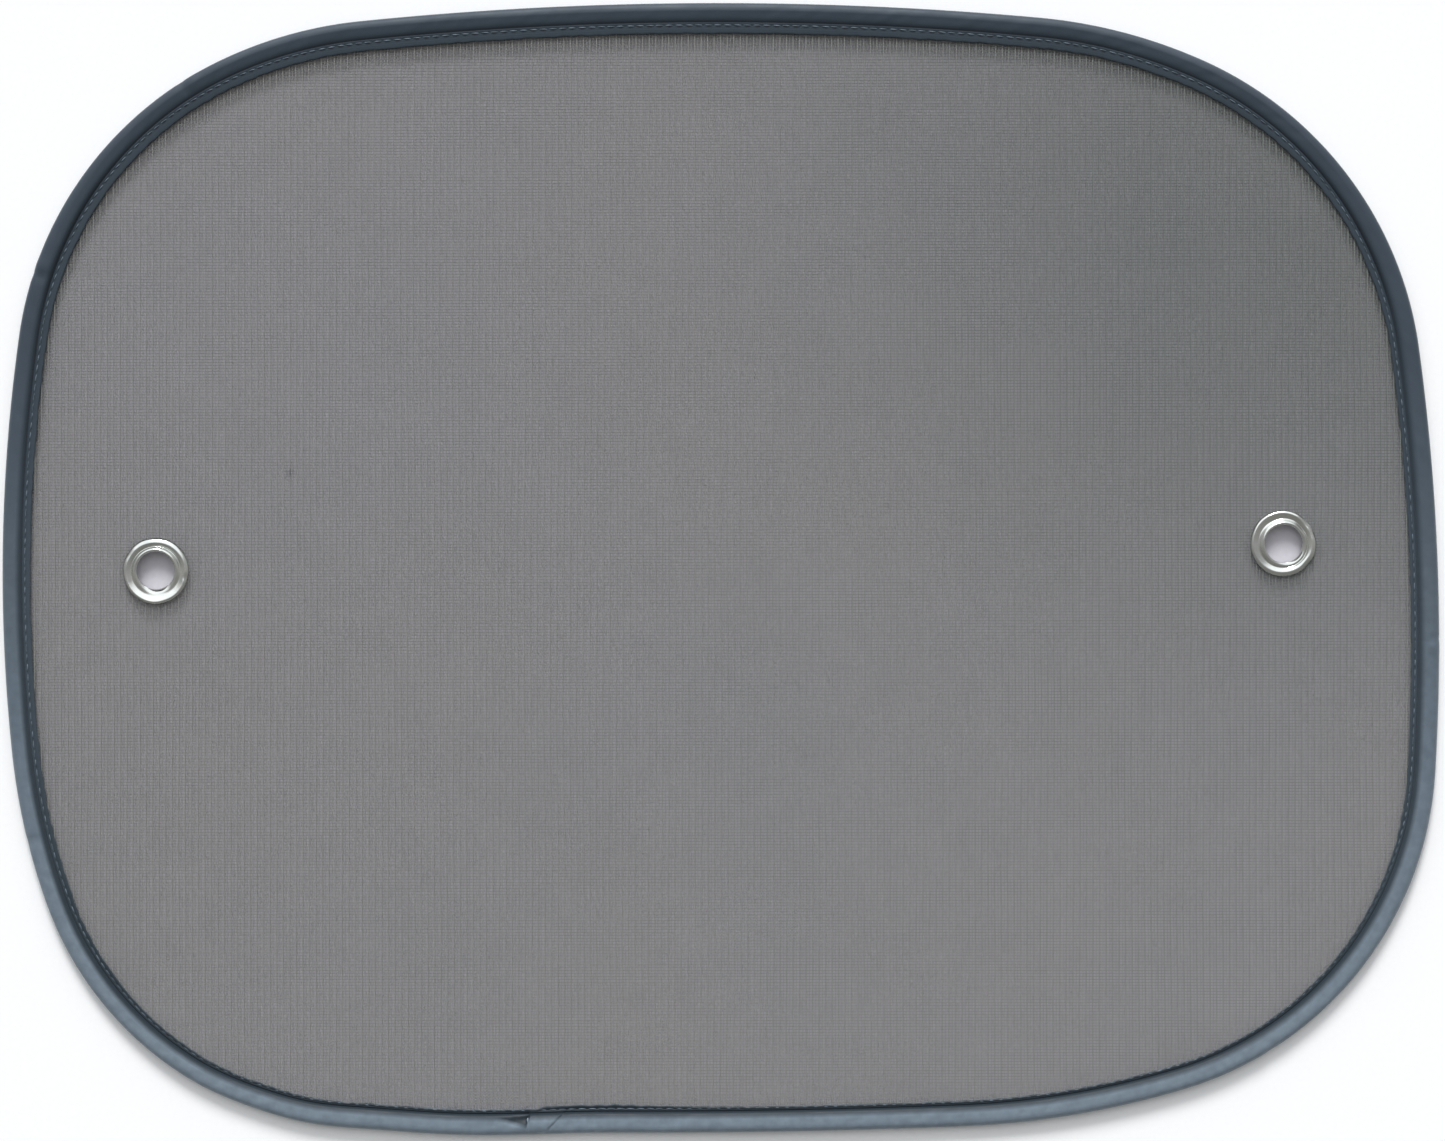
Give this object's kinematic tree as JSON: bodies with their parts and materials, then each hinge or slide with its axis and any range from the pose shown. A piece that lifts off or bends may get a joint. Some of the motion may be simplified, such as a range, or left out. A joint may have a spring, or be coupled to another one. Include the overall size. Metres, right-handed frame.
{
  "type": "car side window sunshade",
  "caption": "Oval mesh sunshade for a car's side window, held taut by a sprung wire hoop in a sewn edge binding, with a metal eyelet near each end.",
  "frame": {"origin": "centre of the outline, on the surface that the shade lies on", "axes": "+X to the right end as seen from the front, +Y to the top edge, +Z out of the front"},
  "size_m": [0.44, 0.346, 0.0045],
  "materials": {
    "knit": "warp-knitted polyester mesh, grey",
    "tape": "woven polyester tape, slate blue",
    "thread": "polyester sewing thread, dark blue",
    "spring_steel": "drawn spring steel",
    "plating": "bright nickel plate on pressed steel"
  },
  "bodies": {
    "root": {"mesh_panel": "knit", "edge_binding": "tape", "seam_thread_front": "thread", "seam_thread_back": "thread", "hoop_wire": "spring_steel", "wire_sleeve": "spring_steel", "left_eyelet": "plating", "left_washer": "plating", "right_eyelet": "plating", "right_washer": "plating"}
  },
  "joints": []
}
